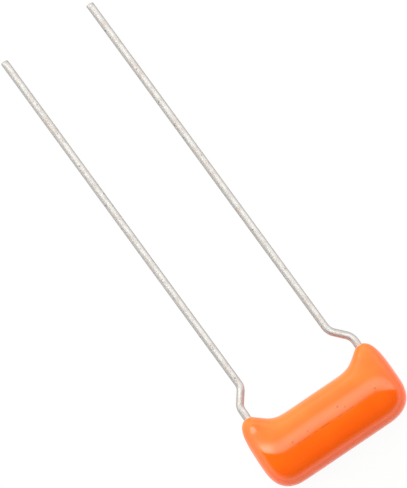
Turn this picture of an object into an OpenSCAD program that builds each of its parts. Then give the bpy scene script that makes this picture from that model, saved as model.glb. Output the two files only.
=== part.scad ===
// Radial film capacitor, dipped in epoxy: a flattened roll of film with a sprayed metal
// contact on each end, a wire lead soldered to each contact, and a glossy coat whose ears
// climb a little way up the leads. It lies on a broad side, on its body and its lead tips.
// Millimetres. The body's own frame has X along the roll and Y along the leads.

/* [Winding] */
// Width of the flattened film roll, along the leads
winding_w = 5.2; // [4:0.05:10]
// Thickness of the flattened film roll
winding_t = 3.6; // [2:0.05:5]
// Thickness of the sprayed metal contact on each end of the roll
contact_t = 0.35; // [0.2:0.05:0.8]

/* [Epoxy coat] */
// Thickness of the epoxy over the sides of the roll
coat_t = 0.85; // [0.6:0.05:1.5]
// Epoxy from the axis of each lead out to the end of the body
end_cover = 1.6; // [1.4:0.05:3]
// Length of the rounding at the left corner away from the leads
left_corner_round = 3.3; // [2:0.05:4.5]
// Length of the rounding at the right corner away from the leads
right_corner_round = 3.6; // [2:0.05:4.5]
// Length over which each end thins out, seen along the leads
side_round = 3; // [2:0.05:4.5]
// Squareness of the ends, where 2 is an ellipse
end_power = 2.6; // [2:0.05:4]
// Squareness of the ends on the leads' side, up the ears
ear_end_power = 3; // [2:0.05:4]
// Squareness of the body's section, where 2 is an ellipse
section_power = 2.3; // [2:0.05:3]
// Height of the ear on the left lead, above the body's edge
left_ear = 1.6; // [0.8:0.05:3]
// Height of the ear on the right lead, above the body's edge
right_ear = 1.4; // [0.8:0.05:3]
// Length of the slope from an ear down to the body's edge
ear_slope = 1.6; // [0.8:0.05:2.5]
// Sharpness of an ear across the body's thickness
ear_power = 5; // [3:0.5:9]
// Swelling of the left ear round its lead, as a share of its thickness
left_collar = 0.3; // [0:0.05:0.5]
// Distance from the top of the left ear down to the middle of its swelling
collar_drop = 0.5; // [0.3:0.05:1]
// Reach of the swelling from its middle
collar_reach = 0.7; // [0.4:0.05:1]

/* [Leads] */
// Diameter of the lead wire
lead_d = 0.81; // [0.5:0.01:1]
// Spacing of the lead axes where they leave the body
exit_spacing = 13.5; // [12:0.1:30]
// Radius of the left lead's bends, at the wire's axis
left_bend_r = 1.2; // [0.8:0.05:1.8]
// Radius of the right lead's bends, at the wire's axis
right_bend_r = 1.6; // [0.8:0.05:2]
// Step of the left lead towards the middle
left_jog = 1.25; // [0.9:0.05:3]
// Step of the right lead towards the middle
right_jog = 1.7; // [1.4:0.05:3]
// Slope of the left lead's step, from the lead's own direction
left_jog_angle = 37; // [25:0.5:55]
// Slope of the right lead's step, from the lead's own direction
right_jog_angle = 43; // [25:0.5:55]
// Straight wire from the top of the left ear to the corner of the first bend
left_standoff = 1.4; // [0.8:0.05:4]
// Straight wire from the top of the right ear to the corner of the first bend
right_standoff = 1.15; // [0.8:0.05:4]
// Lean of both leads to the left, past the steps
lead_lean = 2; // [0:0.1:4]
// Distance from the middle of the body to the cut tips of the leads
lead_reach = 49.2; // [25:0.1:60]

/* [Solder joints] */
// Solder over the wire
solder_t = 0.4; // [0.2:0.05:0.6]
// Solder between the wire and the sprayed contact
solder_film = 0.06; // [0.03:0.01:0.15]
// Length of a solder joint along the wire
solder_l = 2.4; // [1.5:0.05:3.5]
// Bare wire past the end of a solder joint
wire_tail = 0.4; // [0.2:0.05:0.6]

/* [Hidden] */
$fn = 48;

// Signs of the two sides along X
left = -1;
right = 1;

// Places along X, from the middle of the body outwards
lead_r = lead_d / 2;
lead_x = exit_spacing / 2;
contact_face_x = lead_x - lead_r - solder_film;
winding_l = 2 * (contact_face_x - contact_t);
body_half_l = lead_x + end_cover;

// Half sizes of the body's oval section
body_half_w = winding_w / 2 + coat_t;
body_half_t = winding_t / 2 + coat_t;

// Stations along half of the coat, and points round each section
half_stations = 28;
ring_points = 32;

// Share of the full section at x: 1 on the straight body, falling to 0 at the tip over a length
function end_share(x, length, power = end_power) =
    let (u = max(0, (abs(x) - body_half_l + length) / length))
    pow(max(0, 1 - pow(u, power)), 1 / power);

// Share of an ear's height at x: full from the lead outwards, a bell-shaped slope inwards
function ear_share(x) =
    let (inwards = max(0, lead_x - abs(x)))
    exp(-pow(inwards / ear_slope, 2));

function ear_height(side) = side == left ? left_ear : right_ear;

function corner_round(side) = side == left ? left_corner_round : right_corner_round;

// Swelling round the left lead: a bell of the distance from its middle, just below the ear's top
collar_y = body_half_w + left_ear - collar_drop;
function swelling(x, y) =
    1 + left_collar * exp(-(pow(x + lead_x, 2) + pow(y - collar_y, 2)) / pow(collar_reach, 2));

// Superellipse term: the sign of v with its size raised to the section's power
function rounded(v) = sign(v) * pow(abs(v), 2 / section_power);

// Point of the coat's surface at station x and angle a, where 0 is up and 90 is towards the leads
function coat_point(x, a) =
    let (
        s = sin(a),
        lead_share = end_share(x, end_cover, ear_end_power),
        far_share = end_share(x, corner_round(sign(x))),
        ear = s > 0 ? ear_height(sign(x)) * ear_share(x) * lead_share * pow(s, ear_power) : 0,
        y = body_half_w * (s > 0 ? lead_share : far_share) * rounded(s) + ear,
        half_t = body_half_t * end_share(x, side_round) * swelling(x, y)
    )
    [x, y, half_t * rounded(cos(a))];

// Stations crowd towards the tips, where the surface turns fastest
function station(i) =
    let (u = i / half_stations)
    sign(u) * body_half_l * (1 - pow(1 - abs(u), end_power));

// Half the height of the body when it is turned by an angle about X: its reach downwards
dual_power = section_power / (section_power - 1);
function reach_down(a, along, across) =
    pow(pow(along * sin(a), dual_power) + pow(across * cos(a), dual_power), 1 / dual_power);

// Angle at which the body's underside and the lead tips touch one plane
function rest_angle(a = 0, passes = 8) = passes == 0
    ? a
    : rest_angle(
        asin((reach_down(a, body_half_w, body_half_t) - lead_r * cos(a)) / lead_reach),
        passes - 1
    );

tilt = rest_angle();
rest_height = reach_down(tilt, body_half_w, body_half_t);
far_edge = -reach_down(tilt, body_half_t, body_half_w);
tip_edge = lead_reach * cos(tilt) + lead_r * sin(tilt);

// Carries a piece from the body's own frame to where it lies, under the middle of its outline
module laid() {
    translate([0, -(far_edge + tip_edge) / 2, rest_height])
        rotate([-tilt, 0, 0])
            children();
}

// Solid envelope of the dipped body, lofted through oval sections with a pole at each tip
module coat_envelope() {
    inner = half_stations - 1;
    xs = [for (i = [-inner : inner]) station(i)];
    rings = len(xs);
    angles = [for (j = [0 : ring_points - 1]) 360 * j / ring_points];
    points = concat(
        [for (x = xs, a = angles) coat_point(x, a)],
        [[-body_half_l, 0, 0], [body_half_l, 0, 0]]
    );
    first_pole = rings * ring_points;
    last_pole = first_pole + 1;
    function at(i, j) = i * ring_points + j % ring_points;
    faces = concat(
        [for (i = [0 : rings - 2], j = [0 : ring_points - 1])
            each [
                [at(i, j), at(i, j + 1), at(i + 1, j + 1)],
                [at(i, j), at(i + 1, j + 1), at(i + 1, j)],
            ]],
        [for (j = [0 : ring_points - 1]) [first_pole, at(0, j + 1), at(0, j)]],
        [for (j = [0 : ring_points - 1]) [last_pole, at(rings - 1, j), at(rings - 1, j + 1)]]
    );
    polyhedron(points, faces, convexity = 6);
}

// Oval outline of the roll, with its round ends towards and away from the leads
module roll_outline() {
    flat = winding_w - winding_t;
    square([winding_t, flat], center = true);
    for (end = [-1, 1])
        translate([0, end * flat / 2])
            circle(d = winding_t);
}

// Slice of the roll's outline from x along +X
module roll_slice(x, length) {
    translate([x, 0, 0])
        rotate([0, 90, 0])
            linear_extrude(length)
                roll_outline();
}

module winding_form() {
    roll_slice(-winding_l / 2, winding_l);
}

module contact_form(side) {
    roll_slice(side == left ? -contact_face_x : contact_face_x - contact_t, contact_t);
}

// Bare wire of a lead inside the body starts here
tail_y = -solder_l / 2 - wire_tail;

// Solder round the wire, flat where it wets the sprayed contact
module solder_form(side) {
    solder_r = lead_r + solder_t;
    difference() {
        translate([side * lead_x, -solder_l / 2, 0])
            rotate([-90, 0, 0])
                cylinder(r = solder_r, h = solder_l);
        translate([side * (contact_face_x - solder_r), 0, 0])
            cube([2 * solder_r, 2 * solder_l, 4 * solder_r], center = true);
        translate([side * lead_x, -solder_l, 0])
            rotate([-90, 0, 0])
                cylinder(r = lead_r, h = 2 * solder_l);
    }
}

// Straight wire along +Y, then what follows it
module wire_run(length) {
    rotate([-90, 0, 0])
        cylinder(r = lead_r, h = length);
    translate([0, length, 0])
        children();
}

// Bend by an angle towards +X, or towards -X where it is negative, then what follows it
module wire_bend(angle, radius) {
    turn = sign(angle);
    translate([turn * radius, 0, 0]) {
        rotate([0, 0, turn > 0 ? 180 - angle : 0])
            rotate_extrude(angle = abs(angle))
                translate([radius, 0])
                    circle(r = lead_r);
        rotate([0, 0, -angle])
            translate([-turn * radius, 0, 0])
                children();
    }
}

// Wire that a bend takes from the straight runs on each side of its corner
function bend_take(angle, radius) = radius * tan(abs(angle) / 2);

// One lead: up from its joint through the ear, a step towards the middle, then a straight run
module lead_form(side) {
    jog = side == left ? left_jog : right_jog;
    angle = side == left ? left_jog_angle : right_jog_angle;
    standoff = side == left ? left_standoff : right_standoff;
    radius = side == left ? left_bend_r : right_bend_r;
    first_turn = -side * angle;
    second_turn = -lead_lean - first_turn;
    first_corner = body_half_w + ear_height(side) + standoff;
    second_corner = first_corner + jog / tan(angle);
    first_take = bend_take(first_turn, radius);
    second_take = bend_take(second_turn, radius);
    translate([side * lead_x, tail_y, 0])
        wire_run(first_corner - tail_y - first_take)
            wire_bend(first_turn, radius)
                wire_run(jog / sin(angle) - first_take - second_take)
                    wire_bend(second_turn, radius)
                        wire_run((lead_reach - second_corner) / cos(lead_lean) - second_take);
}

module epoxy_coat() {
    color("darkorange")
        laid()
            difference() {
                coat_envelope();
                winding_form();
                for (side = [left, right]) {
                    contact_form(side);
                    solder_form(side);
                    lead_form(side);
                }
            }
}

module film_winding() {
    color("gainsboro")
        laid()
            winding_form();
}

module end_contact(side) {
    color("slategray")
        laid()
            contact_form(side);
}

module solder_joint(side) {
    color("lightsteelblue")
        laid()
            solder_form(side);
}

module lead(side) {
    color("silver")
        laid()
            lead_form(side);
}

epoxy_coat();
film_winding();
end_contact(left);  // left_end_contact
end_contact(right);  // right_end_contact
solder_joint(left);  // left_solder_joint
solder_joint(right);  // right_solder_joint
lead(left);  // left_lead
lead(right);  // right_lead
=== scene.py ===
"""Radial film capacitor in an orange epoxy dip: its finishes, smooth skins, studio and camera.

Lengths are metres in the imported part's own frame: the leads run along +Y, +Z is up and the
part lies on z = 0. The body's own frame, in which the skins are worked out, has X along the
film roll and Y along the leads, before the part is laid on its underside and its lead tips.
"""

from __future__ import annotations

import logging
import math
from dataclasses import dataclass, field
from enum import Enum
from typing import Any

import bpy
import numpy as np
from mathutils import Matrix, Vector
from numpy.typing import NDArray

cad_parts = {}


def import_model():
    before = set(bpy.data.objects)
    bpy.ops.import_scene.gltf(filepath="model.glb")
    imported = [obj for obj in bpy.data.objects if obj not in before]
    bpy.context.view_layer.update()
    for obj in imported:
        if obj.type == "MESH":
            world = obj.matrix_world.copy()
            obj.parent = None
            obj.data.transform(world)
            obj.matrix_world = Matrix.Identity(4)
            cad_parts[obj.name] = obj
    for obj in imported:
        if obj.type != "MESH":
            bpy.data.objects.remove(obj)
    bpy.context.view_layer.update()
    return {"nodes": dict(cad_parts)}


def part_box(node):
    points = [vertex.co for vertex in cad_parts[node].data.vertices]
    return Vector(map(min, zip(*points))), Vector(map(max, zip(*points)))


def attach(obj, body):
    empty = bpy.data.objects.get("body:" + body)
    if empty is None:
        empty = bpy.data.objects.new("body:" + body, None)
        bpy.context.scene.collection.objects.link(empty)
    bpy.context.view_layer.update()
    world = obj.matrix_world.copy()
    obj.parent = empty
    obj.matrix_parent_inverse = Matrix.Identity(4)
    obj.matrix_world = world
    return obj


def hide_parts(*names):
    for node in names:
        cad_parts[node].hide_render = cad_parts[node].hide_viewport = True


LOG = logging.getLogger("film_capacitor")
MM = 0.001
BODY = "root"

# Octaves of the finer noises
FINE_DETAIL = 3.0
# Parts of a speck's radius, of its share of the cells and of a disc's radius at which a mask is full
SPECK_CORE = 0.4
SPECK_CUT = 0.9
DISC_CORE = 0.35

Array = NDArray[np.float64]
Triple = tuple[float, float, float]
Colour = tuple[float, float, float, float]


class Side(Enum):
    """The two ends of the body, by their sign along X."""

    LEFT = -1
    RIGHT = 1


class Slot(Enum):
    """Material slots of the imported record."""

    EPOXY = "orange_epoxy"
    FILM = "wound_film"
    ZINC = "sprayed_zinc"
    SOLDER = "solder"
    TIN = "tinned_wire"


class Signal:
    """An output socket of a material, with Python's operators as Math nodes."""

    def __init__(self, graph: Graph, socket: bpy.types.NodeSocket) -> None:
        """Keeps the socket and the graph that its Math nodes go into."""
        self.graph = graph
        self.socket = socket

    def _math(self, operation: str, first: Signal | float, second: Signal | float) -> Signal:
        """One Math node on two values, as a new signal."""
        inputs = {"Value": first, "Value_001": second}
        return self.graph.add("ShaderNodeMath", {"operation": operation}, inputs)["Value"]

    def __add__(self, other: Signal | float) -> Signal:
        """This value plus the other."""
        return self._math("ADD", self, other)

    def __radd__(self, other: float) -> Signal:
        """The other value plus this one."""
        return self._math("ADD", other, self)

    def __sub__(self, other: Signal | float) -> Signal:
        """This value less the other."""
        return self._math("SUBTRACT", self, other)

    def __rsub__(self, other: float) -> Signal:
        """The other value less this one."""
        return self._math("SUBTRACT", other, self)

    def __mul__(self, other: Signal | float) -> Signal:
        """This value times the other."""
        return self._math("MULTIPLY", self, other)

    def __rmul__(self, other: float) -> Signal:
        """The other value times this one."""
        return self._math("MULTIPLY", other, self)

    def angle_from(self, other: Signal) -> Signal:
        """Angle whose tangent is this value over the other, in radians."""
        return self._math("ARCTAN2", self, other)

    def step(self, low: float, high: float) -> Signal:
        """Smooth step between two values, which falls where low is the larger.

        Args:
            low: The value at which the step is 0.
            high: The value at which the step is 1.

        Returns:
            The step.
        """
        turned = low > high
        ends = {"From Min": min(low, high), "From Max": max(low, high)}
        heights = {"To Min": float(turned), "To Max": float(not turned)}
        inputs = {"Value": self, **ends, **heights}
        return self.graph.add("ShaderNodeMapRange", {"interpolation_type": "SMOOTHSTEP"}, inputs)["Result"]


class Graph:
    """The node tree of a material or a world, filled by one method."""

    def __init__(self, owner: bpy.types.Material | bpy.types.World) -> None:
        """Empties the owner's node tree.

        Args:
            owner: The material or world.
        """
        owner.use_nodes = True
        self.owner = owner
        self.tree = owner.node_tree
        self.tree.nodes.clear()

    @classmethod
    def of_material(cls, name: str) -> Graph:
        """The empty graph of a new material."""
        return cls(bpy.data.materials.new(name))

    def add(self, kind: str, settings: dict[str, Any], inputs: dict[str, Any]) -> dict[str, Signal]:
        """Adds a node, sets its settings, then fills its sockets with values or links.

        Args:
            kind: Blender's type name of the node.
            settings: Properties of the node, such as a Math node's operation.
            inputs: Values or signals, by the identifier of the socket that takes them.

        Returns:
            The node's outputs, by their identifiers.
        """
        node = self.tree.nodes.new(kind)
        for name, setting in settings.items():
            setattr(node, name, setting)
        sockets = {socket.identifier: socket for socket in node.inputs}
        for key, value in inputs.items():
            if isinstance(value, Signal):
                self.tree.links.new(value.socket, sockets[key])
            else:
                sockets[key].default_value = value
        return {socket.identifier: Signal(self, socket) for socket in node.outputs}

    def place(self, stretch: Triple = (1.0, 1.0, 1.0), turn: float = 0.0) -> Signal:
        """Object coordinates, scaled per axis and turned about Z, for a pattern.

        Args:
            stretch: Scale of each axis, so a small one draws the pattern out along it.
            turn: Turn about Z, in radians.

        Returns:
            The coordinates.
        """
        coords = self.add("ShaderNodeTexCoord", {}, {})["Object"]
        inputs = {"Vector": coords, "Rotation": (0.0, 0.0, turn), "Scale": stretch}
        return self.add("ShaderNodeMapping", {}, inputs)["Vector"]

    def noise(self, where: Signal, size: float, detail: float = 2.0) -> Signal:
        """Noise from 0 to 1 with features of about the given size, in metres."""
        inputs = {"Vector": where, "Scale": 1.0 / size, "Detail": detail}
        return self.add("ShaderNodeTexNoise", {}, inputs)["Fac"]

    def specks(self, where: Signal, spacing: float, radius: float, share: float) -> Signal:
        """Round specks on a jittered lattice: 1 inside the radius, in only a share of the cells.

        Args:
            where: Coordinates of the pattern.
            spacing: Distance between the cells' centres.
            radius: Radius of a speck, in the same units.
            share: Part of the cells that hold a speck.

        Returns:
            The mask.
        """
        cells = self.add("ShaderNodeTexVoronoi", {}, {"Vector": where, "Scale": 1.0 / spacing})
        channel = self.add("ShaderNodeSeparateXYZ", {}, {"Vector": cells["Color"]})["X"]
        near = cells["Distance"].step(radius / spacing, SPECK_CORE * radius / spacing)
        return near * channel.step(share, SPECK_CUT * share)

    def near(self, where: Signal, centre: Triple, radius: float) -> Signal:
        """Soft disc round a centre: 1 within about a third of the radius, falling to 0 at the radius.

        Args:
            where: Coordinates of the pattern.
            centre: Middle of the disc.
            radius: Radius of the disc, in the same units.

        Returns:
            The mask.
        """
        inputs = {"Vector": where, "Vector_001": centre}
        away = self.add("ShaderNodeVectorMath", {"operation": "DISTANCE"}, inputs)["Value"]
        return away.step(radius, DISC_CORE * radius)

    def mix(self, amount: Signal, first: Signal | Colour, second: Signal | Colour) -> Signal:
        """Blend of two colours.

        Args:
            amount: Share of the second colour, from 0 to 1.
            first: The first colour.
            second: The second colour.

        Returns:
            The blend.
        """
        settings = {"data_type": "RGBA", "clamp_factor": True}
        inputs = {"Factor_Float": amount, "A_Color": first, "B_Color": second}
        return self.add("ShaderNodeMix", settings, inputs)["Result_Color"]

    def bump(self, height: Signal, depth: float) -> Signal:
        """Normal of a surface raised by a height from 0 to 1, where 1 is the given depth."""
        inputs = {"Strength": 1.0, "Distance": depth, "Height": height}
        return self.add("ShaderNodeBump", {}, inputs)["Normal"]

    def finish(self, shader: Signal) -> bpy.types.Material:
        """Joins the shader to the material's output and returns the material."""
        self.add("ShaderNodeOutputMaterial", {}, {"Surface": shader})
        return self.owner

    def surface(self, **inputs: Any) -> bpy.types.Material:
        """Finishes the material with one Principled shader, whose sockets are named with _ for space."""
        named = {key.replace("_", " "): value for key, value in inputs.items()}
        return self.finish(self.add("ShaderNodeBsdfPrincipled", {}, named)["BSDF"])


@dataclass(frozen=True)
class EpoxyFinish:
    """Glossy pigmented epoxy: faint clouds, a slight peel, dark specks, dust marks and a painted shade line
    along the lower edge of the softbox highlight.

    Each dust mark has its x, its y and its radius in millimetres, from the body's middle.
    """

    orange: Colour = (0.92, 0.111, 0.0034, 1.0)
    pale: Colour = (0.93, 0.122, 0.0046, 1.0)
    speck: Colour = (0.42, 0.060, 0.006, 1.0)
    # Colour of the dust marks, and of the painted shade line along the highlight's lower edge
    dirt_and_shade: Colour = (0.20, 0.070, 0.004, 1.0)
    cloud: float = 2.4 * MM
    cloud_edge: tuple[float, float] = (0.35, 0.7)
    speck_spacing: float = 1.15 * MM
    speck_radius: float = 0.075 * MM
    speck_share: float = 0.12
    speck_strength: float = 0.8
    peel: float = 0.9 * MM
    peel_depth: float = 0.0012 * MM
    pit_depth: float = 0.010 * MM
    gloss: float = 0.07
    haze: float = 0.06
    smear: float = 0.7 * MM
    smear_stretch: Triple = (0.35, 1.0, 1.0)
    smear_turn: float = 0.3
    smear_edge: tuple[float, float] = (0.45, 0.8)
    index: float = 1.6
    marks: tuple[Triple, ...] = (
        (5.68, 0.51, 0.18),
        (1.48, 1.06, 0.22),
        (2.12, 0.64, 0.15),
        (-4.28, 0.66, 0.20),
        (-2.38, 0.75, 0.15),
    )
    mark_strength: float = 0.8
    # Painted shade: a broken dark line at a fixed height, along the lower edge of the softbox highlight
    shade_line_at: float = 0.19 * MM
    shade_line_half: float = 0.12 * MM
    shade_line_reach: float = 8.0 * MM
    shade_line_strength: float = 0.55
    shade_line_gap: float = 0.55 * MM
    shade_gap_stretch: Triple = (1.0, 0.2, 0.0)
    shade_gap_edge: tuple[float, float] = (0.38, 0.62)
    upper: tuple[float, float] = (3.0 * MM, 4.2 * MM)

    def marks_and_shade_line(self, graph: Graph, middle: Array) -> Signal:
        """Mask of the dust marks and of a broken, painted shade line along the lower edge of the softbox
        highlight, on the upper side.

        Args:
            graph: The material's graph.
            middle: The body's middle.

        Returns:
            The mask, 1 at the middle of a mark.
        """
        flat = graph.place((1.0, 1.0, 0.0))
        along = graph.place((1.0, 0.0, 0.0))
        across = graph.place((0.0, 1.0, 0.0))
        height = graph.add("ShaderNodeSeparateXYZ", {}, {"Vector": graph.place()})["Z"]
        # Painted shade line along the lower edge of the softbox highlight, broken into dashes
        shade_line_breaks = graph.noise(graph.place(self.shade_gap_stretch), self.shade_line_gap).step(*self.shade_gap_edge)
        reach = graph.near(along, (0.0, 0.0, 0.0), self.shade_line_reach)
        line = graph.near(across, (0.0, middle[1] + self.shade_line_at, 0.0), self.shade_line_half)
        mask = self.shade_line_strength * shade_line_breaks * line * reach
        for x, y, radius in self.marks:
            centre = (x * MM, middle[1] + y * MM, 0.0)
            mask = mask + self.mark_strength * graph.near(flat, centre, radius * MM)
        return mask * height.step(*self.upper)

    def material(self, middle: Array) -> bpy.types.Material:
        """Builds the material.

        Args:
            middle: The body's middle, which the marks are placed from.

        Returns:
            The material.
        """
        graph = Graph.of_material("orange_epoxy_dip")
        where = graph.place()
        clouds = graph.noise(where, self.cloud, FINE_DETAIL)
        specks = graph.specks(where, self.speck_spacing, self.speck_radius, self.speck_share)
        colour = graph.mix(clouds.step(*self.cloud_edge), self.orange, self.pale)
        colour = graph.mix(specks * self.speck_strength, colour, self.speck)
        # Dust marks, and the painted shade line along the highlight's lower edge
        colour = graph.mix(self.marks_and_shade_line(graph, middle), colour, self.dirt_and_shade)
        smear = graph.noise(graph.place(self.smear_stretch, self.smear_turn), self.smear)
        peel = graph.noise(where, self.peel)
        height = peel * (self.peel_depth / self.pit_depth) + (1.0 - specks)
        return graph.surface(
            Base_Color=colour,
            Roughness=self.gloss + self.haze * smear.step(*self.smear_edge),
            IOR=self.index,
            Normal=graph.bump(height, self.pit_depth),
        )


@dataclass(frozen=True)
class TinFinish:
    """Drawn wire under a thin hot tin: lengthwise lines, cloudy patches, scuffs and pits."""

    tin: Colour = (0.520, 0.512, 0.512, 1.0)
    warm: Colour = (0.526, 0.488, 0.470, 1.0)
    cool: Colour = (0.462, 0.479, 0.470, 1.0)
    pit: Colour = (0.13, 0.115, 0.10, 1.0)
    edge: Colour = (0.45, 0.45, 0.45, 1.0)
    metal: float = 1.0
    patch: float = 0.9 * MM
    patch_edge: tuple[float, float] = (0.48, 0.72)
    tint: float = 0.5 * MM
    tint_stretch: Triple = (1.0, 0.6, 1.0)
    tint_turn: float = 1.0
    tint_edge: tuple[float, float] = (0.58, 0.75)
    tint_strength: float = 0.7
    line: float = 0.10 * MM
    line_stretch: Triple = (1.0, 0.05, 1.0)
    line_depth: float = 0.004 * MM
    line_height: float = 0.5
    scuff: float = 0.16 * MM
    scuff_stretch: Triple = (0.12, 1.0, 0.12)
    scuff_turn: float = 0.5
    scuff_edge: tuple[float, float] = (0.66, 0.74)
    scuff_patch: tuple[float, float] = (0.45, 0.6)
    scuff_strength: float = 0.3
    scuff_height: float = 0.4
    pit_spacing: float = 0.55 * MM
    pit_radius: float = 0.11 * MM
    pit_share: float = 0.24
    pit_strength: float = 0.75
    pit_haze: float = 0.15
    shine: float = 0.48
    haze: float = 0.10
    haze_edge: tuple[float, float] = (0.35, 0.7)

    def material(self) -> bpy.types.Material:
        """Builds the material.

        Returns:
            The material.
        """
        graph = Graph.of_material("tinned_copper_wire")
        where = graph.place()
        along = graph.place(self.line_stretch)
        across = graph.place(self.scuff_stretch, self.scuff_turn)
        patches = graph.noise(where, self.patch, FINE_DETAIL)
        tint = graph.noise(graph.place(self.tint_stretch, self.tint_turn), self.tint)
        lines = graph.noise(along, self.line, FINE_DETAIL)
        scuffs = graph.noise(across, self.scuff).step(*self.scuff_edge) * patches.step(*self.scuff_patch)
        pits = graph.specks(where, self.pit_spacing, self.pit_radius, self.pit_share)
        colour = graph.mix(patches.step(*self.patch_edge), self.tin, self.warm)
        colour = graph.mix(tint.step(*self.tint_edge) * self.tint_strength, colour, self.cool)
        colour = graph.mix(pits * self.pit_strength + scuffs * self.scuff_strength, colour, self.pit)
        height = lines * self.line_height + (1.0 - pits) - scuffs * self.scuff_height
        return graph.surface(
            Base_Color=colour,
            Metallic=self.metal,
            Specular_Tint=self.edge,
            Roughness=self.shine + self.haze * patches.step(*self.haze_edge) + self.pit_haze * pits,
            Normal=graph.bump(height, self.line_depth),
        )


@dataclass(frozen=True)
class FilmFinish:
    """Wound clear film over bright metal: a silvery wrap with fine turn lines."""

    silver: Colour = (0.74, 0.75, 0.74, 1.0)
    shade: Colour = (0.56, 0.57, 0.57, 1.0)
    turn: float = 0.12 * MM
    turn_stretch: Triple = (1.0, 0.06, 0.06)
    turn_edge: tuple[float, float] = (0.4, 0.65)
    turn_height: float = 0.5
    crease: float = 1.2 * MM
    depth: float = 0.02 * MM
    metal: float = 0.6
    shine: float = 0.22
    haze: float = 0.2

    def material(self) -> bpy.types.Material:
        """Builds the material.

        Returns:
            The material.
        """
        graph = Graph.of_material("wound_metal_film")
        turns = graph.noise(graph.place(self.turn_stretch), self.turn)
        creases = graph.noise(graph.place(), self.crease, FINE_DETAIL)
        return graph.surface(
            Base_Color=graph.mix(turns.step(*self.turn_edge), self.silver, self.shade),
            Metallic=self.metal,
            Roughness=self.shine + self.haze * creases,
            Normal=graph.bump(turns * self.turn_height + creases, self.depth),
        )


@dataclass(frozen=True)
class ZincFinish:
    """Sprayed metal contact: a dull, grainy grey."""

    grey: Colour = (0.42, 0.43, 0.45, 1.0)
    dark: Colour = (0.22, 0.22, 0.23, 1.0)
    grain: float = 0.12 * MM
    grain_detail: float = 4.0
    grain_edge: tuple[float, float] = (0.65, 0.35)
    patch: float = 0.9 * MM
    depth: float = 0.05 * MM
    metal: float = 0.85
    shine: float = 0.55
    haze: float = 0.25

    def material(self) -> bpy.types.Material:
        """Builds the material.

        Returns:
            The material.
        """
        graph = Graph.of_material("sprayed_zinc_contact")
        grain = graph.noise(graph.place(), self.grain, self.grain_detail)
        patches = graph.noise(graph.place(), self.patch)
        return graph.surface(
            Base_Color=graph.mix(grain.step(*self.grain_edge), self.grey, self.dark),
            Metallic=self.metal,
            Roughness=self.shine + self.haze * patches,
            Normal=graph.bump(grain, self.depth),
        )


@dataclass(frozen=True)
class SolderFinish:
    """Soft solder: bright, with a slightly frosted skin."""

    bright: Colour = (0.70, 0.70, 0.69, 1.0)
    frosted: Colour = (0.52, 0.52, 0.52, 1.0)
    frost: float = 0.35 * MM
    frost_edge: tuple[float, float] = (0.4, 0.7)
    depth: float = 0.01 * MM
    metal: float = 1.0
    shine: float = 0.2
    haze: float = 0.3

    def material(self) -> bpy.types.Material:
        """Builds the material.

        Returns:
            The material.
        """
        graph = Graph.of_material("soft_solder")
        frost = graph.noise(graph.place(), self.frost, FINE_DETAIL)
        return graph.surface(
            Base_Color=graph.mix(frost.step(*self.frost_edge), self.bright, self.frosted),
            Metallic=self.metal,
            Roughness=self.shine + self.haze * frost,
            Normal=graph.bump(frost, self.depth),
        )


@dataclass(frozen=True)
class FloorFinish:
    """White sheet that looks evenly white, with a faint shadow of what lies on it."""

    white: Colour = (0.90, 0.90, 0.90, 1.0)
    shadow_share: float = 0.05

    def material(self) -> bpy.types.Material:
        """Builds the material: diffuse for light, mostly an even white for what is looked at.

        Returns:
            The material.
        """
        graph = Graph.of_material("white_floor")
        paper = graph.add("ShaderNodeBsdfDiffuse", {}, {"Color": self.white})["BSDF"]
        even = graph.add("ShaderNodeEmission", {}, {"Strength": 1.0})["Emission"]
        rays = graph.add("ShaderNodeLightPath", {}, {})
        looked_at = rays["Is Camera Ray"] + rays["Is Glossy Ray"] + rays["Is Transmission Ray"]
        amount = looked_at.step(0.0, 1.0) * (1.0 - self.shadow_share)
        mixed = graph.add("ShaderNodeMixShader", {}, {"Fac": amount, "Shader": paper, "Shader_001": even})
        return graph.finish(mixed["Shader"])


def closed_tube(name: str, rings: Array, first: Array, last: Array) -> bpy.types.Object:
    """Skin over rings of points: quads between rings, wrapped round, and a fan to a point at each end.

    Args:
        name: Name of the new object.
        rings: Points of shape (rings, around, 3). Along the rings, then around them, turns outwards.
        first: The point that closes the first ring.
        last: The point that closes the last ring.

    Returns:
        The object, at the origin, smooth and with its faces outwards.
    """
    count, around, _ = rings.shape
    ids = np.arange(count * around).reshape(count, around)
    ahead = np.roll(ids, -1, axis=1)
    quads = np.stack([ids[:-1], ids[1:], ahead[1:], ahead[:-1]], axis=-1).reshape(-1, 4)
    first_id = np.full(around, count * around)
    fans = np.concatenate([
        np.stack([first_id, ids[0], ahead[0]], axis=-1),
        np.stack([first_id + 1, ahead[-1], ids[-1]], axis=-1),
    ])
    points = np.concatenate([rings.reshape(-1, 3), first[None], last[None]])
    mesh = bpy.data.meshes.new(name)
    mesh.from_pydata(points.tolist(), [], quads.tolist() + fans.tolist())
    mesh.polygons.foreach_set("use_smooth", np.ones(len(mesh.polygons), dtype=bool))
    mesh.update()
    obj = bpy.data.objects.new(name, mesh)
    bpy.context.scene.collection.objects.link(obj)
    return obj


def fit_out(piece: bpy.types.Object, node: str, material: bpy.types.Material) -> None:
    """Lets a piece stand for a node: on its body and with its finish.

    Args:
        piece: The new piece.
        node: The node that it replaces.
        material: Its finish.
    """
    piece.data.materials.append(material)
    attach(piece, BODY)
    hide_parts(node)
    low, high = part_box(node)
    points = np.array([corner[:] for corner in piece.bound_box])
    off = max(np.abs(points.min(0) - low).max(), np.abs(points.max(0) - high).max())
    LOG.info("%s: %d faces, box within %.3f mm of %s", piece.name, len(piece.data.polygons), off / MM, node)


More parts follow.
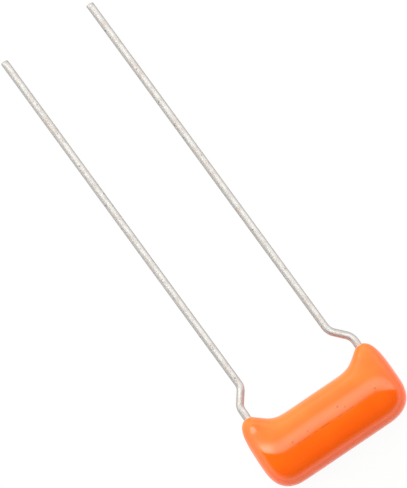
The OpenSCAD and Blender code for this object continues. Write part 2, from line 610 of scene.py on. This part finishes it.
@dataclass(frozen=True)
class BodyForm:
    """Sizes of the dipped body in its own frame, and how the part lies."""

    half_w: float = 3.45 * MM
    half_t: float = 2.65 * MM
    lead_x: float = 6.75 * MM
    end_cover: float = 1.6 * MM
    left_corner_round: float = 3.3 * MM
    right_corner_round: float = 3.6 * MM
    side_round: float = 3.0 * MM
    end_power: float = 2.6
    ear_end_power: float = 3.0
    section_power: float = 2.3
    left_ear: float = 1.6 * MM
    right_ear: float = 1.4 * MM
    ear_slope: float = 1.6 * MM
    ear_power: float = 5.0
    left_collar: float = 0.3
    collar_drop: float = 0.5 * MM
    collar_reach: float = 0.7 * MM
    lead_r: float = 0.405 * MM
    lead_reach: float = 49.2 * MM
    tilt_rounds: int = 8

    @property
    def half_l(self) -> float:
        """Half the length of the body: from the middle past the lead to the end."""
        return self.lead_x + self.end_cover

    def ear(self, side: Side) -> float:
        """Height of the ear on one side."""
        return self.left_ear if side is Side.LEFT else self.right_ear

    def reach(self, angle: float, along: float, across: float) -> float:
        """Reach of the superellipse section from its middle, turned by an angle.

        The dual power of the section gives it: the power sum of the two half sizes, each
        times the sine or cosine of the angle.

        Args:
            angle: Turn of the section, in radians.
            along: Half size that the sine weighs.
            across: Half size that the cosine weighs.

        Returns:
            The distance from the middle to the touching plane.
        """
        dual = self.section_power / (self.section_power - 1.0)
        total = (along * math.sin(angle)) ** dual + (across * math.cos(angle)) ** dual
        return total ** (1.0 / dual)

    @property
    def tilt(self) -> float:
        """Angle at which the underside and the lead tips touch one plane, by repeated substitution."""
        angle = 0.0
        for _ in range(self.tilt_rounds):
            drop = self.reach(angle, self.half_w, self.half_t) - self.lead_r * math.cos(angle)
            angle = math.asin(drop / self.lead_reach)
        return angle

    def laid(self, points: Array) -> Array:
        """Carries points from the body's own frame to where they lie.

        A turn about X by the tilt, then up to the plane and along to the middle of the outline.

        Args:
            points: Points of shape (..., 3).

        Returns:
            The points in the part's frame.
        """
        tilt = self.tilt
        far_edge = -self.reach(tilt, self.half_t, self.half_w)
        tip_edge = self.lead_reach * math.cos(tilt) + self.lead_r * math.sin(tilt)
        x, y, z = np.moveaxis(points, -1, 0)
        shift = -(far_edge + tip_edge) / 2.0
        rise = self.reach(tilt, self.half_w, self.half_t)
        along = y * math.cos(tilt) + z * math.sin(tilt) + shift
        up = -y * math.sin(tilt) + z * math.cos(tilt) + rise
        return np.stack([x, along, up], axis=-1)

    @property
    def middle(self) -> Array:
        """Where the body's middle lies."""
        return self.laid(np.zeros(3))


@dataclass
class DippedBody:
    """The epoxy coat: an oval body with round ends and an ear that climbs each lead."""

    form: BodyForm
    half_stations: int = 110
    around: int = 200
    wave: float = 0.008 * MM
    wave_factors: tuple[Triple, ...] = (
        (0.9, 0.7, 0.0),
        (-0.55, 1.7, 1.1),
        (1.5, 0.8, -1.2),
    )
    wave_phases: tuple[float, ...] = (0.4, 1.9, 4.0)
    wave_weights: tuple[float, ...] = (1.0, 1.0, 0.6)
    climb: float = 0.05 * MM
    climb_reach: float = 0.24 * MM
    finish: EpoxyFinish = field(default_factory=EpoxyFinish)

    def end_share(self, x: Array, length: float | Array, power: float) -> Array:
        """Share of the full section at x: 1 on the straight body, a superellipse to 0 at the tip.

        Args:
            x: Places along the body.
            length: Length of the rounding, at each place or everywhere.
            power: Squareness of the rounding, where 2 is an ellipse.

        Returns:
            The shares.
        """
        u = np.maximum(0.0, (np.abs(x) - self.form.half_l + length) / length)
        return np.maximum(0.0, 1.0 - u**power) ** (1.0 / power)

    def ear_lift(self, x: Array, sine: Array) -> Array:
        """Lift towards the leads: full from the lead outwards, a bell-shaped slope inwards.

        Args:
            x: Places along the body.
            sine: Sine of the angle round the section, 1 towards the leads.

        Returns:
            The lifts.
        """
        form = self.form
        height = np.where(x < 0.0, form.left_ear, form.right_ear)
        inwards = np.maximum(0.0, form.lead_x - np.abs(x))
        bell = np.exp(-((inwards / form.ear_slope) ** 2))
        share = self.end_share(x, form.end_cover, form.ear_end_power)
        return height * bell * share * np.maximum(0.0, sine) ** form.ear_power

    def swelling(self, x: Array, y: Array) -> Array:
        """Swelling of the left ear round its lead: one plus a bell of the distance from its middle.

        Args:
            x: Places along the body.
            y: Places along the leads.

        Returns:
            Factors of the thickness.
        """
        form = self.form
        middle = form.half_w + form.left_ear - form.collar_drop
        away = np.hypot(x + form.lead_x, y - middle) / form.collar_reach
        return 1.0 + form.left_collar * np.exp(-(away**2))

    def skin(self, x: Array, angle: Array) -> Array:
        """Point of the coat at x and an angle, where 0 is up and a quarter turn is towards the leads.

        A superellipse section, thinned to each end by its end shares, plus the ear's lift and swelling.

        Args:
            x: Places along the body.
            angle: Angles round the section.

        Returns:
            Points of shape (..., 3) in the body's own frame.
        """
        form = self.form
        sine, cosine = np.sin(angle), np.cos(angle)
        power = 2.0 / form.section_power
        lead_edge = self.end_share(x, form.end_cover, form.ear_end_power)
        corner = np.where(x < 0.0, form.left_corner_round, form.right_corner_round)
        far_edge = self.end_share(x, corner, form.end_power)
        edge = form.half_w * np.where(sine > 0.0, lead_edge, far_edge)
        y = edge * np.sign(sine) * np.abs(sine) ** power + self.ear_lift(x, sine)
        thick = form.half_t * self.end_share(x, form.side_round, form.end_power) * self.swelling(x, y)
        z = thick * np.sign(cosine) * np.abs(cosine) ** power
        return np.stack([x, y, z], axis=-1)

    def run_up(self, points: Array, angle: Array) -> Array:
        """Epoxy drawn up the wires: a bell of the distance to each lead's axis, on the leads' side.

        Args:
            points: Points of the skin.
            angle: Their angles round the section.

        Returns:
            How far each point moves along the leads.
        """
        away = np.hypot(np.abs(points[..., 0]) - self.form.lead_x, points[..., 2]) - self.form.lead_r
        bell = np.exp(-((np.maximum(0.0, away) / self.climb_reach) ** 2))
        return self.climb * bell * (np.sin(angle) > 0.0)

    def ripple(self, points: Array) -> Array:
        """Slight unevenness of a dipped coat: long sine waves that cross at odd angles.

        Each wave is the sine of the point in millimetres times its factors, plus its phase, and
        the weighted mean of the waves is taken.

        Args:
            points: Points of the skin.

        Returns:
            How far each point moves outwards.
        """
        waves = np.sin(points / MM @ np.array(self.wave_factors).T + np.array(self.wave_phases))
        return self.wave * np.average(waves, axis=-1, weights=self.wave_weights)

    def build(self) -> bpy.types.Object:
        """Lays the skin over a grid of stations and angles, with the run-up and the ripple.

        Stations crowd towards the tips, by a power of the distance from them.

        Returns:
            The coat.
        """
        form = self.form
        u = np.linspace(-1.0, 1.0, 2 * self.half_stations + 1)[1:-1]
        stations = np.sign(u) * form.half_l * (1.0 - (1.0 - np.abs(u)) ** form.end_power)
        angles = np.linspace(0.0, 2.0 * math.pi, self.around, endpoint=False)
        x, angle = np.meshgrid(stations, angles, indexing="ij")
        points = self.skin(x, angle)
        outwards = points / np.array([form.half_l**2, form.half_w**2, form.half_t**2])
        outwards /= np.linalg.norm(outwards, axis=-1, keepdims=True)
        rippled = points + outwards * self.ripple(points)[..., None]
        rippled[..., 1] += self.run_up(points, angle)
        tips = np.array([[-form.half_l, 0.0, 0.0], [form.half_l, 0.0, 0.0]])
        tips[:, 0] += np.array([-1.0, 1.0]) * self.ripple(tips)
        first, last = form.laid(tips)
        return closed_tube("dipped_epoxy_coat", form.laid(rippled), first, last)

    def dress(self) -> bpy.types.Object:
        """Builds the coat and gives it its finish and body.

        Returns:
            The coat.
        """
        coat = self.build()
        fit_out(coat, "epoxy_coat", self.finish.material(self.form.middle))
        return coat


@dataclass
class WireLead:
    """One lead: out of its solder joint, a step towards the middle, then a straight run.

    The steps count the points on its three straights and two arcs, in order.
    """

    form: BodyForm
    side: Side
    jog: float
    jog_angle: float
    bend_r: float
    standoff: float
    tail_y: float = -1.6 * MM
    lean: float = math.radians(2.0)
    steps: tuple[int, ...] = (24, 28, 6, 28, 90)
    around: int = 40
    chamfer: float = 0.05 * MM
    cut_slant: float = 0.10 * MM
    cut_turn: float = 0.6

    def route(self) -> tuple[Array, Array]:
        """Middle line of the wire, in the body's own plane: straights joined by arcs.

        The heading changes evenly along each arc, and the steps along it add up to the line.

        Returns:
            Points of shape (n, 2), and the heading at each, in radians from +Y towards +X.
        """
        form = self.form
        sign = self.side.value
        corner = form.half_w + form.ear(self.side) + self.standoff
        last_corner = corner + self.jog / math.tan(self.jog_angle)
        turns = np.array([-sign * self.jog_angle, sign * self.jog_angle - self.lean])
        takes = self.bend_r * np.tan(np.abs(turns) / 2.0)
        arcs = self.bend_r * np.abs(turns)
        runs = np.array([
            corner - self.tail_y - takes[0],
            arcs[0],
            self.jog / math.sin(self.jog_angle) - takes.sum(),
            arcs[1],
            (form.lead_reach - last_corner) / math.cos(self.lean) - takes[1],
        ])
        knots = np.concatenate([[0.0], np.cumsum(runs)])
        spans = zip(knots, knots[1:], self.steps)
        pieces = [np.linspace(start, end, count, endpoint=False) for start, end, count in spans]
        along = np.concatenate([*pieces, knots[-1:]])
        heading = np.interp(along, knots, np.concatenate([[0.0, 0.0], np.cumsum(turns).repeat(2)]))
        middle = (heading[:-1] + heading[1:]) / 2.0
        stride = np.diff(along)[:, None] * np.stack([np.sin(middle), np.cos(middle)], axis=-1)
        start = np.array([[sign * form.lead_x, self.tail_y]])
        return np.concatenate([start, start + np.cumsum(stride, axis=0)]), heading

    def build(self) -> bpy.types.Object:
        """Carries a round section along the route, with a chamfered, slightly slanted cut at the tip.

        Each ring is its point of the route plus the radius times the cosine of the angle upwards
        and the sine of it to the left.

        Returns:
            The wire.
        """
        radius = self.form.lead_r
        points, heading = self.route()
        end_size = [1.0 - self.chamfer / radius]
        size = np.concatenate([end_size, np.ones(len(points)), end_size])
        points = np.concatenate([points[:1], points, points[-1:]])
        heading = np.concatenate([heading[:1], heading, heading[-1:]])
        forward = np.stack([np.sin(heading), np.cos(heading), np.zeros_like(heading)], axis=-1)
        leftward = np.stack([-np.cos(heading), np.sin(heading), np.zeros_like(heading)], axis=-1)
        upward = np.array([0.0, 0.0, 1.0])
        axis = np.concatenate([points, np.zeros((len(points), 1))], axis=-1)
        axis[1] += self.chamfer * forward[0]
        axis[-2] -= self.chamfer * forward[-1]
        angle = np.linspace(0.0, 2.0 * math.pi, self.around, endpoint=False)
        ring = np.cos(angle)[None, :, None] * upward + np.sin(angle)[None, :, None] * leftward[:, None, :]
        rings = axis[:, None, :] + radius * size[:, None, None] * ring
        slant = self.cut_slant * (np.cos(angle - self.cut_turn) - 1.0) / 2.0
        rings[-2:] += slant[None, :, None] * forward[-1]
        tip = axis[-1] - forward[-1] * self.cut_slant / 2.0
        name = f"{self.side.name.lower()}_tinned_lead"
        return closed_tube(name, self.form.laid(rings), self.form.laid(axis[0]), self.form.laid(tip))

    def dress(self, material: bpy.types.Material) -> bpy.types.Object:
        """Builds the wire and gives it its finish and body.

        Args:
            material: The finish of both wires.

        Returns:
            The wire.
        """
        wire = self.build()
        fit_out(wire, f"{self.side.name.lower()}_lead", material)
        return wire


@dataclass
class WoundCore:
    """The pieces sealed in the coat: the film roll, its sprayed contacts and the solder joints."""

    nodes: dict[str, bpy.types.Object]
    film: FilmFinish = field(default_factory=FilmFinish)
    zinc: ZincFinish = field(default_factory=ZincFinish)
    solder: SolderFinish = field(default_factory=SolderFinish)

    def dress(self) -> None:
        """Gives each inner piece its finish."""
        finishes = {
            "film_winding": (self.film.material(), Slot.FILM),
            "end_contact": (self.zinc.material(), Slot.ZINC),
            "solder_joint": (self.solder.material(), Slot.SOLDER),
        }
        for ending, (material, slot) in finishes.items():
            for name in sorted(node for node in self.nodes if node.endswith(ending)):
                piece = self.nodes[name]
                piece.data.materials.clear()
                piece.data.materials.append(material)
                LOG.info("%s: dressed in %s", name, material.name)


@dataclass(frozen=True)
class LightTent:
    """Surroundings: a bright ring above the floor, a box and a panel up the image, and a dark top.

    The angles of the ring, panel and box are in degrees. The sides of the box and of its hot part
    are shares of the direction across the image, from 0 in the middle to 1 at the floor.
    """

    turn: float = math.radians(-19.4)
    tint: Colour = (1.0, 0.97, 0.90, 1.0)
    dark: float = 0.08
    ring: float = 1.5
    ring_top: tuple[float, float] = (36.0, 4.0)
    panel: float = 1.0
    panel_foot: tuple[float, float] = (34.0, 46.0)
    box: float = 2.8
    box_near: tuple[float, float] = (1.6, 5.6)
    box_ramp: tuple[float, float] = (3.0, 14.0)
    ramp_share: float = 0.36
    box_far: tuple[float, float] = (48.0, 18.0)
    box_side: tuple[float, float] = (1.0, 0.8)
    hot: float = 0.85
    hot_side: tuple[float, float] = (0.2, 0.6)

    def build(self) -> None:
        """Fills the world with a radiance worked out from the direction that is looked in.

        The direction's share up the image, to its right and to the zenith give the angle up
        the image. Smooth steps of that angle make the overhead box and the panel beyond it,
        and a step of the height makes the ring.
        """
        world = bpy.data.worlds.new("light_tent")
        bpy.context.scene.world = world
        graph = Graph(world)
        way = graph.add("ShaderNodeTexCoord", {}, {})["Generated"]

        def share(axis: Triple) -> Signal:
            """Share of the direction along an axis."""
            inputs = {"Vector": way, "Vector_001": axis}
            return graph.add("ShaderNodeVectorMath", {"operation": "DOT_PRODUCT"}, inputs)["Value"]

        def rise(value: Signal, degrees: tuple[float, float]) -> Signal:
            """Smooth step of an angle between two angles in degrees."""
            return value.step(math.radians(degrees[0]), math.radians(degrees[1]))

        height = share((0.0, 0.0, 1.0))
        aside = share((math.cos(self.turn), math.sin(self.turn), 0.0))
        upward = share((-math.sin(self.turn), math.cos(self.turn), 0.0)).angle_from(height)
        wide = aside.step(-self.box_side[0], -self.box_side[1]) * aside.step(*self.box_side)
        brighter = 1.0 + self.hot * aside.step(-self.hot_side[0], -self.hot_side[1])
        near = (1.0 - self.ramp_share) * rise(upward, self.box_near)
        near = near + self.ramp_share * rise(upward, self.box_ramp)
        box = self.box * near * rise(upward, self.box_far) * wide * brighter
        low, high = (math.sin(math.radians(angle)) for angle in self.ring_top)
        foot = height.step(low, high)
        panel = self.panel * rise(upward, self.panel_foot) * (1.0 - foot)
        radiance = self.dark + box + self.ring * foot + panel
        inputs = {"Color": self.tint, "Strength": radiance}
        light = graph.add("ShaderNodeBackground", {}, inputs)["Background"]
        graph.add("ShaderNodeOutputWorld", {}, {"Surface": light})


@dataclass(frozen=True)
class SoftLamp:
    """A large soft lamp at angles in degrees, which shows in reflections only if it is mirrored."""

    name: str
    zenith: float
    azimuth: float
    radiance: float
    distance: float = 0.60
    size: float = 0.50
    mirrored: bool = False

    def build(self, target: Vector, only: tuple[bpy.types.Object, ...] = ()) -> None:
        """Hangs the lamp at its angles from the target and faces it there.

        Its power is its radiance times pi times its area.

        Args:
            target: The point that it faces.
            only: The pieces that it lights, or none for all.
        """
        zenith, azimuth = math.radians(self.zenith), math.radians(self.azimuth)
        level = math.sin(zenith)
        way = Vector((level * math.sin(azimuth), level * math.cos(azimuth), math.cos(zenith)))
        lamp = bpy.data.lights.new(self.name, "AREA")
        lamp.size = self.size
        lamp.energy = self.radiance * math.pi * self.size**2
        obj = bpy.data.objects.new(self.name, lamp)
        obj.location = target + way * self.distance
        obj.rotation_euler = way.to_track_quat("Z", "Y").to_euler()
        obj.visible_camera = False
        obj.visible_glossy = self.mirrored
        bpy.context.scene.collection.objects.link(obj)
        if only:
            lit = bpy.data.collections.new(f"{self.name}_lit")
            for piece in only:
                lit.objects.link(piece)
            obj.light_linking.receiver_collection = lit


@dataclass
class Studio:
    """White floor, light tent, a soft key lamp, and two soft boxes that light only the wires."""

    target: Vector
    tent: LightTent
    key: SoftLamp = SoftLamp("key_lamp", 72.0, -12.0, 9.2, distance=0.80)
    wire_lamps: tuple[SoftLamp, ...] = (
        SoftLamp("wire_box", 5.0, -90.0, 0.68, size=0.84, mirrored=True),
        SoftLamp("wire_side", 65.0, 90.0, 0.45, size=0.50, mirrored=True),
    )
    floor: FloorFinish = field(default_factory=FloorFinish)
    floor_half: float = 1.5

    def build_floor(self) -> None:
        """Lays a flat square under the part."""
        signs = np.array([[-1.0, -1.0], [1.0, -1.0], [1.0, 1.0], [-1.0, 1.0]])
        corners = np.concatenate([signs * self.floor_half, np.zeros((4, 1))], axis=-1)
        mesh = bpy.data.meshes.new("floor")
        mesh.from_pydata(corners.tolist(), [], [[0, 1, 2, 3]])
        mesh.materials.append(self.floor.material())
        floor = bpy.data.objects.new("floor", mesh)
        bpy.context.scene.collection.objects.link(floor)

    def build(self, wires: tuple[bpy.types.Object, ...]) -> None:
        """Builds the floor and the lights, and sets the plain view transform.

        Args:
            wires: The leads, which have soft boxes of their own.
        """
        self.build_floor()
        self.tent.build()
        self.key.build(self.target)
        for lamp in self.wire_lamps:
            lamp.build(self.target, wires)
        bpy.context.scene.view_settings.view_transform = "Standard"
        LOG.info("studio: floor, light tent, key lamp and %d wire lamps", len(self.wire_lamps))


@dataclass(frozen=True)
class PhotoCamera:
    """A long lens straight above, turned so that the leads run up to the left."""

    target: Vector
    image: tuple[int, int] = (407, 488)
    body_pixel: tuple[float, float] = (330.35, 422.65)
    pixel: float = 0.1017 * MM
    roll: float = math.radians(-34.12)
    lens: float = 300.0
    sensor: float = 36.0

    def build(self) -> None:
        """Hangs the camera so that the target falls on its pixel, at the given size of a pixel.

        Its distance is the longer side of the image on the floor times the lens over the sensor.
        """
        right = Vector((math.cos(self.roll), math.sin(self.roll), 0.0))
        up = Vector((-math.sin(self.roll), math.cos(self.roll), 0.0))
        aside = (self.image[0] / 2.0 - self.body_pixel[0]) * self.pixel
        above = (self.body_pixel[1] - self.image[1] / 2.0) * self.pixel
        distance = max(self.image) * self.pixel * self.lens / self.sensor
        data = bpy.data.cameras.new("photo_camera")
        data.lens = self.lens
        data.sensor_width = self.sensor
        camera = bpy.data.objects.new("photo_camera", data)
        camera.location = self.target + right * aside + up * above + Vector((0.0, 0.0, distance))
        camera.rotation_euler = (0.0, 0.0, self.roll)
        bpy.context.scene.collection.objects.link(camera)
        bpy.context.scene.camera = camera
        LOG.info("camera: %.0f mm above the body", distance / MM)


def main() -> None:
    """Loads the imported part, builds and dresses its pieces, and sets up studio and camera."""
    logging.basicConfig(level=logging.INFO, format="%(name)s: %(message)s")
    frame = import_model()
    form = BodyForm()
    middle = Vector(form.middle)
    PhotoCamera(middle).build()
    DippedBody(form).dress()
    tin = TinFinish().material()
    leads = (
        WireLead(
            form,
            Side.LEFT,
            jog=1.25 * MM,
            jog_angle=math.radians(37.0),
            bend_r=1.2 * MM,
            standoff=1.4 * MM,
        ),
        WireLead(
            form,
            Side.RIGHT,
            jog=1.7 * MM,
            jog_angle=math.radians(43.0),
            bend_r=1.6 * MM,
            standoff=1.15 * MM,
        ),
    )
    wires = tuple(lead.dress(tin) for lead in leads)
    WoundCore(frame["nodes"]).dress()
    Studio(middle, LightTent()).build(wires)


if __name__ == "__main__":
    main()
